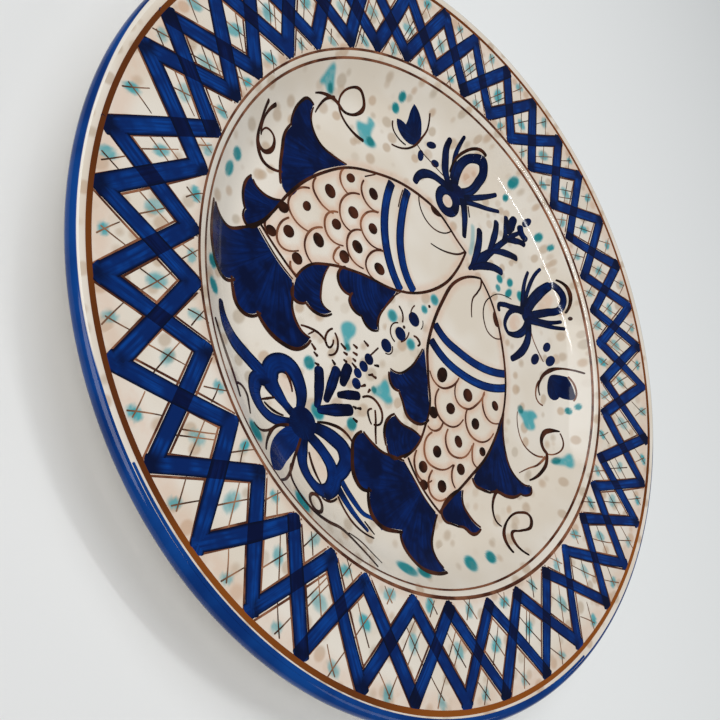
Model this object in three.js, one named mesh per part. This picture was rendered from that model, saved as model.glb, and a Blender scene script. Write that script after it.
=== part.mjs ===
// Hand painted ceramic plate: a wheel-turned earthenware body and the glaze coats fused onto it.
// Millimetres, +Z up out of the plate's face, origin at the centre of the foot ring's underside.
// Every piece is a body of revolution, so each one is a lathe of a stretch of the same outline.
import * as THREE from "three";

// Driving dimensions of the glazed face, as radius from the axis and height above the table.
const FLOOR = { radius: 86.7, height: 11 }; // flat floor of the well, as far as its wall
const WALL_TOP = { radius: 104.8, height: 19.7 }; // end of the well's curved wall
const SHOULDER = { radius: 107.8, height: 22 }; // corner, rounded, where the well turns into the rim
const RIM_INNER = { radius: 111, height: 22.3 };
const RIM_OUTER = { radius: 144.5, height: 25.5 };
const LIP = { radius: 150, crest: 26.2, bead: 2.9 }; // outermost point, highest point, bead radius

// Underside.
const RIM_THICKNESS = 6;
const FOOT = { outer: 88.4, inner: 82.6, chamfer: 0.8 }; // flat sole between its two chamfers
const FOOT_LEAN = { outer: 0.12, inner: 0.2 }; // how far each side spreads, per unit of height
const BARE_FOOT = 2.4; // the foot is wiped bare below this height
const RECESS_CEILING = 4; // underside of the floor, inside the foot ring
const RECESS_FILLET = 2.6;

// Glaze.
const GLAZE = 0.45; // thickness of each coat
const GAP = 0.05; // between a coat and the clay, so that the two solids never overlap
const COAT = GLAZE + GAP;
const LIP_BAND = { from: 84, to: -62 }; // the coloured band round the bead, in degrees above the horizontal

// Facets around the axis, and along each curved stretch of the outline.
const AROUND = 48;
const ALONG = 3;

const { degToRad } = THREE.MathUtils;
const beadCentre = { radius: LIP.radius - LIP.bead, height: LIP.crest - LIP.bead };
const clayBead = LIP.bead - COAT;

function onBead(degrees) {
  const angle = degToRad(degrees);
  const x = beadCentre.radius + clayBead * Math.cos(angle);
  const y = beadCentre.height + clayBead * Math.sin(angle);
  return new THREE.Vector2(x, y);
}

// Points on the foot ring's two sides, which spread a little as they rise from the sole.
function footOuterAt(height) {
  return new THREE.Vector2(FOOT.outer + FOOT_LEAN.outer * height, height);
}
function footInnerAt(height) {
  return new THREE.Vector2(FOOT.inner - FOOT_LEAN.inner * height, height);
}

// The clay outline runs from the centre of the face over the lip and back to the centre of the
// underside, in one stretch for each coat and one for the bare foot.
function faceStretch() {
  const floor = FLOOR.height - COAT;
  const wallTop = WALL_TOP.height - COAT;
  const crest = onBead(LIP_BAND.from);
  const path = new THREE.Path();
  path.moveTo(0, floor);
  path.lineTo(FLOOR.radius, floor);
  path.bezierCurveTo(FLOOR.radius + 6.8, floor, WALL_TOP.radius - 5, wallTop - 3.8, WALL_TOP.radius, wallTop);
  path.quadraticCurveTo(SHOULDER.radius, SHOULDER.height - COAT, RIM_INNER.radius, RIM_INNER.height - COAT);
  path.lineTo(RIM_OUTER.radius, RIM_OUTER.height - COAT);
  path.quadraticCurveTo(RIM_OUTER.radius + 1.4, crest.y - 0.05, crest.x, crest.y);
  return path;
}

function lipStretch() {
  const path = new THREE.Path();
  const from = degToRad(LIP_BAND.from);
  const to = degToRad(LIP_BAND.to);
  path.moveTo(onBead(LIP_BAND.from).x, onBead(LIP_BAND.from).y);
  path.absarc(beadCentre.radius, beadCentre.height, clayBead, from, to, true);
  return path;
}

function backStretch() {
  const start = onBead(LIP_BAND.to);
  const under = RIM_THICKNESS - COAT; // from the glazed face down to the clay's underside
  const outer = { x: RIM_OUTER.radius - 3, y: RIM_OUTER.height - under - 0.3 };
  const inner = { x: RIM_INNER.radius + 0.8, y: RIM_INNER.height - under - 0.1 };
  const foot = footOuterAt(BARE_FOOT);
  const path = new THREE.Path();
  path.moveTo(start.x, start.y);
  path.quadraticCurveTo(beadCentre.radius - 1, outer.y + 0.3, outer.x, outer.y);
  path.lineTo(inner.x, inner.y);
  path.bezierCurveTo(inner.x - 9, inner.y - 1, FOOT.outer + 9, 4.2, foot.x + 1.6, 3.9);
  path.quadraticCurveTo(foot.x + 0.3, 3.6, foot.x, foot.y);
  return path;
}

function footStretch() {
  const outer = footOuterAt(BARE_FOOT);
  const inner = footInnerAt(BARE_FOOT);
  const path = new THREE.Path();
  path.moveTo(outer.x, outer.y);
  path.lineTo(footOuterAt(FOOT.chamfer).x, FOOT.chamfer);
  path.lineTo(FOOT.outer - FOOT.chamfer, 0);
  path.lineTo(FOOT.inner + FOOT.chamfer, 0);
  path.lineTo(footInnerAt(FOOT.chamfer).x, FOOT.chamfer);
  path.lineTo(inner.x, inner.y);
  return path;
}

function recessStretch() {
  const start = footInnerAt(BARE_FOOT);
  const ceiling = RECESS_CEILING + COAT;
  const path = new THREE.Path();
  path.moveTo(start.x, start.y);
  path.quadraticCurveTo(start.x - 0.5, ceiling, start.x - RECESS_FILLET, ceiling);
  path.lineTo(0, ceiling);
  return path;
}

// The stretches end to end. Each keeps the index of its first and last point on the outline, so
// that two coats which meet are cut along the same normal.
const outline = [];
function addStretch(path) {
  const points = path.getPoints(ALONG);
  const from = Math.max(outline.length - 1, 0);
  outline.push(...points.slice(outline.length ? 1 : 0));
  return { from, to: outline.length - 1 };
}
const face = addStretch(faceStretch());
const lip = addStretch(lipStretch());
const back = addStretch(backStretch());
addStretch(footStretch());
const recess = addStretch(recessStretch());

function outwardNormal(index) {
  const before = outline[Math.max(index - 1, 0)];
  const after = outline[Math.min(index + 1, outline.length - 1)];
  const along = new THREE.Vector2().subVectors(after, before).normalize();
  return new THREE.Vector2(-along.y, along.x);
}

function offsetStretch({ from, to }, distance) {
  const points = [];
  for (let i = from; i <= to; i++) {
    points.push(outline[i].clone().addScaledVector(outwardNormal(i), distance));
  }
  return points;
}

// LatheGeometry turns a profile round its own Y axis, and wants it drawn upwards on the outside.
function turned(name, profile, material) {
  const mesh = new THREE.Mesh(new THREE.LatheGeometry(profile.toReversed(), AROUND), material);
  mesh.name = name;
  return mesh;
}

// A coat lies between two offsets of its stretch. Its profile starts and ends on the axis where
// the stretch reaches it, and otherwise closes on itself.
function coat(name, stretch, material) {
  const outside = offsetStretch(stretch, COAT);
  const inside = offsetStretch(stretch, GAP).toReversed();
  const startsOnAxis = stretch.from === 0;
  const endsOnAxis = stretch.to === outline.length - 1;
  let profile = [...outside, ...inside];
  if (endsOnAxis) {
    profile = [...inside, ...outside];
  } else if (!startsOnAxis) {
    profile.push(outside[0].clone());
  }
  return turned(name, profile, material);
}

const earthenware = new THREE.MeshStandardMaterial({ color: 0xc9a27e, roughness: 0.85, metalness: 0 });
const creamGlaze = new THREE.MeshStandardMaterial({ color: 0xe9dfcf, roughness: 0.12, metalness: 0 });
const cobaltGlaze = new THREE.MeshStandardMaterial({ color: 0x123f8c, roughness: 0.1, metalness: 0 });

const plate = new THREE.Group();
plate.rotation.x = Math.PI / 2; // the lathe's Y axis becomes +Z
plate.add(
  turned("clay_body", outline, earthenware),
  coat("face_glaze", face, creamGlaze),
  coat("lip_band", lip, cobaltGlaze),
  coat("back_glaze", back, creamGlaze),
  coat("recess_glaze", recess, creamGlaze),
);

export default plate;
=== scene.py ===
import math

import bpy
import numpy as np
from mathutils import Matrix, Vector
from mathutils.geometry import delaunay_2d_cdt


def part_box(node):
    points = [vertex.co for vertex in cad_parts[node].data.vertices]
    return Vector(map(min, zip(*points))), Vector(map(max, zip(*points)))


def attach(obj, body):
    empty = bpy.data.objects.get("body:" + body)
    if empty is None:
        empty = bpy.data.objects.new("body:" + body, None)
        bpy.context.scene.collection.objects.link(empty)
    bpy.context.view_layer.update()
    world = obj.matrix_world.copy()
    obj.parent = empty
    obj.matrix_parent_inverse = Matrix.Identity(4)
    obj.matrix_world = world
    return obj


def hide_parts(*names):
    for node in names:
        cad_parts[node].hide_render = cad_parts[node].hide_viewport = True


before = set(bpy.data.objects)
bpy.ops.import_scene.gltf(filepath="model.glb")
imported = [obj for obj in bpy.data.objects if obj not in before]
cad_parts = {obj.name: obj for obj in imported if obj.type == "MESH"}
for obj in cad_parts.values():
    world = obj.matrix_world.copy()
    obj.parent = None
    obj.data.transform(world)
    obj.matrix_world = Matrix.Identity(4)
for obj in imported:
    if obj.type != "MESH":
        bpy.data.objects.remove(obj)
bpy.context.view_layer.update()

# Hand painted ceramic plate. All shapes are drawn in millimetres on a plate of 150 mm radius, in the
# CAD frame: +Z up out of the face, +Y towards the sprig at the top of the painting.
DRAWN_RADIUS = 150
MM = (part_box("lip_band")[1][0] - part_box("lip_band")[0][0]) / 2 / DRAWN_RADIUS
rng = np.random.default_rng(7)


# ---------------------------------------------------------------- the turned shape

FLOOR = (86.7, 11.0)  # radius and height where the flat floor of the well ends
WALL_TOP = (104.8, 19.7)
SHOULDER = (107.8, 22.0)
RIM_INNER = (111.0, 22.3)
RIM_OUTER = (144.5, 25.5)
BEAD = (147.1, 23.3, 2.9)  # centre radius, centre height and radius of the rounded lip
BEAD_TOP = 84  # degrees above the horizontal where the lip's blue band starts on the bead
BAND_END = -62
COAT = 0.45  # thickness of the glaze
GAP = 0.05  # between the glaze and the clay
BARE_FOOT = 2.4


def bezier(points, count=14):
    """Points along the Bezier curve of the given control points, its end left out."""
    control = np.asarray(points, float)
    degree = len(control) - 1
    t = (np.arange(count) / count)[:, None]
    terms = [math.comb(degree, i) * t**i * (1 - t) ** (degree - i) * control[i] for i in range(degree + 1)]
    return sum(terms)


def arc(start, end, count):
    """Points along the lip's bead between two angles in degrees."""
    angle = np.radians(np.linspace(start, end, count))
    return np.column_stack([BEAD[0] + BEAD[2] * np.cos(angle), BEAD[1] + BEAD[2] * np.sin(angle)])


def face_profile():
    wall = bezier([FLOOR, (93.5, FLOOR[1]), (99.8, 15.9), WALL_TOP])
    shoulder = bezier([WALL_TOP, SHOULDER, RIM_INNER], 8)
    crest = bezier([RIM_OUTER, (145.9, 26.15), arc(BEAD_TOP, BEAD_TOP, 1)[0]], 5)
    return np.vstack([[(0, FLOOR[1])], wall, shoulder, crest, arc(BEAD_TOP, BEAD_TOP, 1)])


FACE = face_profile()
FACE_AND_CREST = np.vstack([FACE, arc(BEAD_TOP, 60, 5)[1:]])


def face_height(radius):
    """Height of the glazed face, or of the lip's crest just outside it."""
    return np.interp(radius, FACE_AND_CREST[:, 0], FACE_AND_CREST[:, 1])


def back_profile():
    """From the end of the lip's band, under the rim and down to the glaze line on the foot."""
    start = arc(BAND_END, BAND_END, 1)[0]
    under_lip = bezier([start, (146, 19.7), (141.5, 19.2)], 6)
    under_rim = bezier([(141.5, 19.2), (111.8, 16.2)], 8)
    under_well = bezier([(111.8, 16.2), (102.8, 15.2), (97.4, 3.8), (90.5, 3.5)], 16)
    foot = bezier([(90.5, 3.5), (89.3, 3.3), (89.0, BARE_FOOT)], 4)
    return np.vstack([under_lip, under_rim, under_well, foot, [(89.0, BARE_FOOT)]])


def foot_profile():
    """The bare clay of the foot ring: outer side, flat sole and inner side, all with soft corners."""
    outer = bezier([(88.68, BARE_FOOT), (88.5, 0), (87.6, 0)], 6)
    inner = bezier([(83.4, 0), (82.4, 0), (82.12, BARE_FOOT)], 6)
    return np.vstack([outer, [(87.6, 0)], inner, [(82.12, BARE_FOOT)]])


def recess_profile():
    fillet = bezier([(82.0, BARE_FOOT), (81.5, 4.0), (79.5, 4.0)], 6)
    return np.vstack([fillet, [(79.5, 4.0), (60, 4.0), (40, 4.0), (20, 4.0), (0, 4.0)]])


def inset(profile, distance):
    """The profile moved inwards, to the right of its direction of travel."""
    along = np.gradient(profile, axis=0)
    along /= np.linalg.norm(along, axis=1)[:, None]
    moved = profile + distance * np.column_stack([along[:, 1], -along[:, 0]])
    moved[profile[:, 0] == 0, 0] = 0
    return moved


def new_mesh(name, points, faces, sharp_angle=50):
    mesh = bpy.data.meshes.new(name)
    mesh.from_pydata((np.asarray(points) * MM).tolist(), [], faces)
    mesh.shade_smooth()
    mesh.set_sharp_from_angle(angle=math.radians(sharp_angle))
    piece = bpy.data.objects.new(name, mesh)
    bpy.context.scene.collection.objects.link(piece)
    return piece


def revolve(name, profile, around):
    """A closed body turned from a profile that is a loop, or that starts and ends on the axis."""
    profile = [tuple(p) for p in profile]
    angles = np.arange(around) * 2 * math.pi / around
    points, rows, faces = [], [], []
    for radius, height in profile:
        if radius < 1e-6:
            rows.append([len(points)] * around)
            points.append((0, 0, height))
        else:
            rows.append(list(range(len(points), len(points) + around)))
            points += [(radius * math.cos(a), radius * math.sin(a), height) for a in angles]
    pairs = list(zip(rows, rows[1:]))
    if profile[0][0] > 1e-6:
        pairs.append((rows[-1], rows[0]))
    for row, following in pairs:
        for i in range(around):
            j = (i + 1) % around
            corners = tuple(dict.fromkeys([row[i], following[i], following[j], row[j]]))
            if len(corners) > 2:
                faces.append(corners)
    return new_mesh(name, points, faces)


def densify(profile, step):
    """The profile with extra points, so that no two neighbours are further apart than the step."""
    out = []
    for a, b in zip(profile, profile[1:]):
        count = max(1, math.ceil(np.linalg.norm(b - a) / step))
        out += [a + (b - a) * i / count for i in range(count)]
    return np.array(out + [profile[-1]])


def shell(name, outside, around, step=30.0):
    """A coat of glaze: its outside at full smoothness, its inside a plain copy one coat below."""
    inside = inset(outside, COAT)[::-1]
    return revolve(name, np.vstack([densify(outside, step), densify(inside, 30.0)]), around)


# ---------------------------------------------------------------- brushwork

# How far each kind of paint stands above the glaze. Where two kinds cross, the higher one shows.
UNDER_LIFT = 0.03
CROSS_LIFT = 0.05
RING_LIFT = 0.07
BLUE_LIFT = 0.09
BROWN_LIFT = 0.12
DARK_LIFT = 0.15
SUNK = 0.06  # how deep the underside of all paint lies in the glaze
FAR = 99  # distance from the end of the stroke, where a shape has no ends


def smooth(points, closed=False, step=0.6):
    """A smooth curve through the points, sampled about every step."""
    p = np.asarray(points, float)
    if closed:
        p = np.vstack([p, p[:1]])
    gap = np.linalg.norm(np.diff(p, axis=0), axis=1)[:, None]
    chord = np.diff(p, axis=0) / gap
    heading = np.vstack([chord[:1], chord[:-1] * gap[1:] + chord[1:] * gap[:-1], chord[-1:]])
    if closed:
        heading[0] = heading[-1] = chord[-1] * gap[0] + chord[0] * gap[-1]
    heading /= np.linalg.norm(heading, axis=1)[:, None]
    if len(p) > 2 and not closed:
        heading[0] = 2 * chord[0] - heading[1]
        heading[-1] = 2 * chord[-1] - heading[-2]
    out = []
    for a, b, va, vb, g in zip(p, p[1:], heading, heading[1:], gap[:, 0]):
        count = max(2, math.ceil(g / step))
        t = (np.arange(count) / count)[:, None]
        ease = t * t * (3 - 2 * t)
        out.append(a + (b - a) * ease + g * (va * t * (1 - t) ** 2 - vb * t * t * (1 - t)))
    if not closed:
        out.append(p[-1:])
    return np.vstack(out)


def ellipse(x, y, rx, ry, turn=0, count=20):
    """A closed outline; turn is in degrees."""
    angle = np.arange(count) * 2 * math.pi / count
    c, s = math.cos(math.radians(turn)), math.sin(math.radians(turn))
    across, up = rx * np.cos(angle), ry * np.sin(angle)
    return np.column_stack([x + across * c - up * s, y + across * s + up * c])


def polar(degrees, radius):
    return radius * math.cos(math.radians(degrees)), radius * math.sin(math.radians(degrees))


class Paint:
    """Strokes and filled shapes in one colour. They become one thin body fused onto the glaze, which
    has a second material where two of them lie over each other, as a second coat looks darker."""

    def __init__(self):
        self.points = []
        self.faces = []
        self.brush = []  # per face: item, and how brush coordinates are read there
        self.items = 0

    def _face(self, outline, brush):
        start = len(self.points)
        outline = np.asarray(outline, float)
        nxt = np.roll(outline, -1, axis=0)
        area = (outline[:, 0] * nxt[:, 1] - nxt[:, 0] * outline[:, 1]).sum() / 2
        if abs(area) < 1e-5:
            return
        if area < 0:
            outline = outline[::-1]
        self.points += outline.tolist()
        self.faces.append(list(range(start, start + len(outline))))
        self.brush.append(brush)

    def next_coat(self):
        self.items += 1
        return self.items

    def stroke(self, route, width, closed=False, step=0.6, coat=None, blunt=False):
        """A brush stroke; width is one number or several, spread evenly along it. Strokes that share
        a coat don't darken each other. A blunt stroke starts and ends almost square."""
        line = smooth(route, closed, step)
        if closed:
            line = np.vstack([line, line[:1]])
        gap = np.linalg.norm(np.diff(line, axis=0), axis=1)
        along = np.concatenate([[0], np.cumsum(gap)])
        widths = [width, width] if np.isscalar(width) else width
        half = np.interp(along / along[-1], np.linspace(0, 1, len(widths)), widths) / 2
        tangent = np.gradient(line, axis=0)
        tangent /= np.linalg.norm(tangent, axis=1)[:, None]
        side = np.column_stack([-tangent[:, 1], tangent[:, 0]])
        left, right = line + side * half[:, None], line - side * half[:, None]
        item = self.next_coat() if coat is None else coat
        start = rng.uniform(0, 500)
        length = math.inf if closed else along[-1]
        places = zip(along, line, tangent, half)
        brushes = [(item, a, c, t, max(h, 0.1), start, length) for a, c, t, h in places]
        for i in range(len(line) - 1):
            self._face([left[i], right[i], right[i + 1]], brushes[i])
            self._face([left[i], right[i + 1], left[i + 1]], brushes[i])
        if not closed:
            bulge = 0.3 if blunt else 0.8
            self._cap(line[0], -tangent[0] * bulge, tangent[0], half[0], brushes[0])
            self._cap(line[-1], tangent[-1] * bulge, tangent[-1], half[-1], brushes[-1])

    def _cap(self, centre, outwards, tangent, half, brush):
        turn = np.linspace(-math.pi / 2, math.pi / 2, 7)[:, None]
        across = np.array([-tangent[1], tangent[0]])
        self._face(centre + half * (np.cos(turn) * outwards + np.sin(turn) * across), brush)

    def fill(self, runs, root=None, arched=False):
        """A filled shape. Each run is a smooth stretch of its outline, and two runs meet in a corner.
        The brush streaks fan out from the root, or run in arches round it."""
        if len(runs) == 1:
            outline = smooth(runs[0], closed=True)
        else:
            pairs = zip(runs, runs[1:] + runs[:1])
            outline = np.vstack([smooth([*run, after[0]])[:-1] for run, after in pairs])
        root = np.asarray(outline.mean(axis=0) if root is None else root, float)
        self._face(outline, (self.next_coat(), arched, root, None, None, None, None))

    def dot(self, x, y, rx, ry=None, turn=0):
        self.fill([ellipse(x, y, rx, rx if ry is None else ry, turn, 12)])

    def _brush_at(self, brush, point):
        """Distance along the brush's way, distance across it, the share of its half width, and the
        distance from the nearer end of the stroke."""
        _, along, centre, tangent, half, start, length = brush
        offset = point - centre
        if tangent is None:
            distance, turn = np.hypot(*offset), 12 * math.atan2(offset[1], offset[0])
            return (turn, distance, 0, FAR) if along else (distance, turn, 0, FAR)
        across = tangent[0] * offset[1] - tangent[1] * offset[0]
        here = along + offset @ tangent
        return start + here, across, across / half, min(here, length - here, FAR)

    def build(self, name, lift, materials, slot, grid=2.2):
        """The body: its top follows the face at the given lift, and its underside lies in the glaze."""
        points = np.array(self.points)
        low, high = points.min(axis=0), points.max(axis=0)
        inner = []
        if grid:
            xs, ys = np.arange(low[0], high[0], grid), np.arange(low[1], high[1], grid)
            inner = [(x + 0.31, y + 0.17) for x in xs for y in ys]
        sites = [Vector(p) for p in self.points + inner]
        found, _, triangles, _, _, covers = delaunay_2d_cdt(sites, [], self.faces, 1, 1e-4, True)
        kept = [(t, c) for t, c in zip(triangles, covers) if c]
        used = sorted({v for t, _ in kept for v in t})
        number = {v: i for i, v in enumerate(used)}
        flat = np.array([found[v][:] for v in used])
        height = face_height(np.hypot(flat[:, 0], flat[:, 1]))
        count = len(flat)
        solid = np.vstack([np.column_stack([flat, height + lift]), np.column_stack([flat, height - SUNK])])
        tops = [tuple(number[v] for v in t) for t, _ in kept]
        edges = {(t[i], t[(i + 1) % 3]) for t in tops for i in range(3)}
        rim = [(a, b) for a, b in edges if (b, a) not in edges]
        faces = tops + [tuple(v + count for v in t[::-1]) for t in tops]
        faces += [(b, a, a + count, b + count) for a, b in rim]
        piece = new_mesh(name, solid, faces, sharp_angle=35)
        self._shade(piece, flat, tops, [c for _, c in kept], materials)
        return finish_piece(piece, slot)

    def _top_brush(self, cover, point):
        """The latest coat of those that cover the point, read where its middle line is nearest."""
        brushes = [self.brush[c] for c in cover]
        return max(brushes, key=lambda b: (b[0], -abs(self._brush_at(b, point)[2])))

    def _shade(self, piece, flat, tops, covers, materials):
        coords = np.zeros((len(piece.data.loops), 4))
        second = []
        for number, (top, cover) in enumerate(zip(tops, covers)):
            brush = self._top_brush(cover, flat[list(top)].mean(axis=0))
            second.append(len({self.brush[c][0] for c in cover}) > 1)
            for corner in range(3):
                coords[3 * number + corner] = self._brush_at(brush, flat[top[corner]])
        piece.data.uv_layers.new(name="brush").data.foreach_set("uv", coords[:, :2].ravel())
        piece.data.uv_layers.new(name="edge").data.foreach_set("uv", coords[:, 2:].ravel())
        for material in materials:
            piece.data.materials.append(material)
        if len(materials) > 1:
            index = np.zeros(len(piece.data.polygons), int)
            index[: len(second)] = second
            piece.data.polygons.foreach_set("material_index", index)


def finish_piece(piece, slot, *nodes):
    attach(piece, "root")
    if nodes:
        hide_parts(*nodes)
    return piece


# ---------------------------------------------------------------- materials


class Finish:
    """A glazed or bare surface, and short ways to add colour nodes to it."""

    def __init__(self, name, roughness):
        self.material = bpy.data.materials.new(name)
        self.material.use_nodes = True
        self.tree = self.material.node_tree
        self.shader = self.tree.nodes["Principled BSDF"]
        self.shader.inputs["Roughness"].default_value = roughness
        self.shader.inputs["Specular IOR Level"].default_value = 0.30

    def node(self, kind, inputs=(), **settings):
        node = self.tree.nodes.new(kind)
        for key, value in settings.items():
            setattr(node, key, value)
        for key, value in dict(inputs).items():
            if isinstance(value, bpy.types.NodeSocket):
                self.tree.links.new(value, node.inputs[key])
            else:
                node.inputs[key].default_value = value
        return node

    def place(self):
        """Object coordinates in drawn millimetres."""
        here = self.node("ShaderNodeTexCoord").outputs["Object"]
        scaled = self.node("ShaderNodeVectorMath", {0: here, 1: (1 / MM,) * 3}, operation="MULTIPLY")
        return scaled.outputs[0]

    def brush(self, along, across):
        """Brush coordinates, stretched by one factor along the stroke and one across it."""
        uv = self.node("ShaderNodeUVMap", uv_map="brush").outputs[0]
        return self.node("ShaderNodeMapping", {"Vector": uv, "Scale": (along, across, 1)}).outputs[0]

    def noise(self, where, scale, detail=3.0, low=0.35, high=0.65):
        """Clouds from 0 to 1; scale is in clouds per unit of the coordinates."""
        made = self.node("ShaderNodeTexNoise", {"Vector": where, "Scale": scale, "Detail": detail})
        return self.ramp(made.outputs[0], low, high)

    def ramp(self, value, low, high):
        """From 0 at low to 1 at high, with soft ends."""
        if low < high:
            limits = {"From Min": low, "From Max": high}
        else:
            limits = {"From Min": high, "From Max": low, "To Min": 1.0, "To Max": 0.0}
        limits["Value"] = value
        return self.node("ShaderNodeMapRange", limits, interpolation_type="SMOOTHSTEP").outputs[0]

    def times(self, a, b):
        return self.node("ShaderNodeMath", {0: a, 1: b}, operation="MULTIPLY").outputs[0]

    def mix(self, amount, first, second):
        """From the first colour at 0 to the second at 1."""
        mixed = self.node("ShaderNodeMix", {0: amount}, data_type="RGBA")
        for socket, colour in ((mixed.inputs[6], first), (mixed.inputs[7], second)):
            if isinstance(colour, bpy.types.NodeSocket):
                self.tree.links.new(colour, socket)
            else:
                socket.default_value = (*colour, 1)
        return mixed.outputs[2]

    def colour(self, socket):
        self.tree.links.new(socket, self.shader.inputs["Base Color"])

    def ripple(self, height, depth):
        """Shallow unevenness that bends the reflections; depth is in millimetres."""
        bump = self.node("ShaderNodeBump", {"Height": height, "Distance": depth * MM, "Strength": 1.0})
        self.tree.links.new(bump.outputs[0], self.shader.inputs["Normal"])


CREAM_CREST_SIDE = 140  # degrees from +X: the middle of the stretch of lip with a cream crest
# How much further down the cream reaches, and the cosines of the angle to that side between which it
# comes to do so.
CREAM_CREST_STEPS = ((0.42, -0.55, -0.15), (0.65, 0.2, 0.8))

CREAM = (0.82, 0.76, 0.67)
WARM_CREAM = (0.76, 0.68, 0.57)
PEACH = (0.70, 0.42, 0.28)
SPONGE = (0.56, 0.40, 0.27)
SPONGE_GREY = (0.52, 0.44, 0.34)
TURQUOISE = (0.018, 0.36, 0.41)
DEEP_TURQUOISE = (0.001, 0.17, 0.18)


def spots(finish, where, spacing, shift):
    """Sponged spots of the ground: how strong they are, and a random number for each."""
    moved = finish.node("ShaderNodeMapping", {"Vector": where, "Location": shift, "Scale": (1, 0.8, 0)})
    cells = finish.node(
        "ShaderNodeTexVoronoi", {"Vector": moved.outputs[0], "Scale": 1 / spacing, "Randomness": 0.85}
    )
    soft = finish.ramp(cells.outputs["Distance"], 0.40, 0.22)
    chance = finish.node("ShaderNodeSeparateColor", {0: cells.outputs["Color"]})
    shown = finish.ramp(chance.outputs[0], 0.25, 0.55)
    return finish.times(soft, shown), chance.outputs[1]


def painted_glaze():
    """The cream glaze with its soft colours: the plate's wash attribute holds peach, turquoise, the
    sponged ground and deep turquoise, in that order."""
    finish = Finish("glaze_painted", 0.07)
    where = finish.place()
    wash = finish.node("ShaderNodeAttribute", attribute_name="wash")
    amounts = finish.node("ShaderNodeSeparateColor", {0: wash.outputs["Color"]})
    clouds = finish.noise(where, 0.035, 2)
    blotches = finish.noise(where, 0.22, 2, 0.30, 0.70)
    colour = finish.mix(clouds, CREAM, WARM_CREAM)
    for spacing, shift in ((6.3, (0, 0, 0)), (7.5, (40, 23, 0))):
        soft, chance = spots(finish, where, spacing, shift)
        tone = finish.mix(chance, SPONGE, SPONGE_GREY)
        colour = finish.mix(finish.times(finish.times(soft, amounts.outputs[2]), 0.75), colour, tone)
    colour = finish.mix(finish.times(amounts.outputs[0], finish.ramp(blotches, -0.9, 0.8)), colour, PEACH)
    colour = finish.mix(
        finish.times(amounts.outputs[1], finish.ramp(blotches, -1.6, 0.5)), colour, TURQUOISE
    )
    colour = finish.mix(wash.outputs["Alpha"], colour, DEEP_TURQUOISE)
    finish.colour(colour)
    finish.ripple(finish.noise(where, 0.11, 2, 0, 1), 0.05)
    return finish.material


def plain_glaze():
    finish = Finish("glaze_plain", 0.10)
    where = finish.place()
    finish.colour(finish.mix(finish.noise(where, 0.04), CREAM, WARM_CREAM))
    finish.ripple(finish.noise(where, 0.09, 2, 0, 1), 0.08)
    return finish.material


def bare_clay():
    finish = Finish("clay_bare", 0.85)
    where = finish.place()
    clouds = finish.mix(finish.noise(where, 0.15), (0.60, 0.42, 0.28), (0.48, 0.31, 0.20))
    specks = finish.ramp(finish.noise(where, 2.2, 2, 0.62, 0.74), 0, 1)
    finish.colour(finish.mix(specks, clouds, (0.30, 0.18, 0.11)))
    finish.ripple(finish.noise(where, 1.4, 5, 0, 1), 0.12)
    return finish.material


def brushed(name, thin, thick, edge, contrast=1.0):
    """A coat laid on with a brush: streaks along it between the thin and the thick colour, a line of
    pooled colour along its edges and, here and there, a pool at its end. Less contrast gives softer
    streaks."""
    finish = Finish(name, 0.08)
    streaks = finish.noise(finish.brush(0.05, 1.1), 1.0, 3, 0.5 - 0.15 / contrast, 0.5 + 0.15 / contrast)
    clouds = finish.noise(finish.place(), 0.14, 2)
    colour = finish.mix(finish.times(streaks, clouds), thick, thin)
    uv = finish.node("ShaderNodeUVMap", uv_map="edge").outputs[0]
    place = finish.node("ShaderNodeSeparateXYZ", {0: uv})
    full = finish.noise(finish.place(), 0.06, 2, 0.40, 0.54)
    pool = finish.times(full, finish.ramp(place.outputs[1], 6.5, 2.0))
    colour = finish.mix(finish.times(pool, 0.85), colour, edge)
    distance = finish.node("ShaderNodeMath", {0: place.outputs[0]}, operation="ABSOLUTE").outputs[0]
    colour = finish.mix(finish.ramp(distance, 0.60, 0.97), colour, edge)
    finish.colour(colour)
    return finish.material


def line_colour(name, thin, thick, scale=0.12):
    """A pen-thin line: it varies along its way, as the brush empties."""
    finish = Finish(name, 0.12)
    fading = finish.noise(finish.place(), scale, 2, 0.35, 0.70)
    finish.colour(finish.mix(fading, thick, thin))
    return finish.material


def lip_glaze():
    """The lip's blue, deeper where the brush was full. Its upper edge was painted by hand: it lies on
    the crest at the plate's lower right, and lower on the lip, below a cream crest, all round the rest."""
    finish = Finish("glaze_lip", 0.08)
    where = finish.place()
    blue = finish.mix(finish.noise(where, 0.05, 3), (0.001, 0.028, 0.16), (0.003, 0.055, 0.26))
    outwards = finish.node("ShaderNodeVectorMath", {0: where}, operation="NORMALIZE").outputs[0]
    upper_left = (*polar(CREAM_CREST_SIDE, 1), 0)
    side = finish.node("ShaderNodeVectorMath", {0: outwards, 1: upper_left}, operation="DOT_PRODUCT")
    top = BEAD[1] + BEAD[2] + 0.3
    height = finish.node("ShaderNodeSeparateXYZ", {0: where}).outputs[2]
    for depth, low, high in CREAM_CREST_STEPS:
        more = finish.times(finish.ramp(side.outputs[1], low, high), depth)
        height = finish.node("ShaderNodeMath", {0: height, 1: more}, operation="ADD").outputs[0]
    finish.colour(finish.mix(finish.ramp(height, top, top - 0.1), CREAM, blue))
    return finish.material


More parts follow.
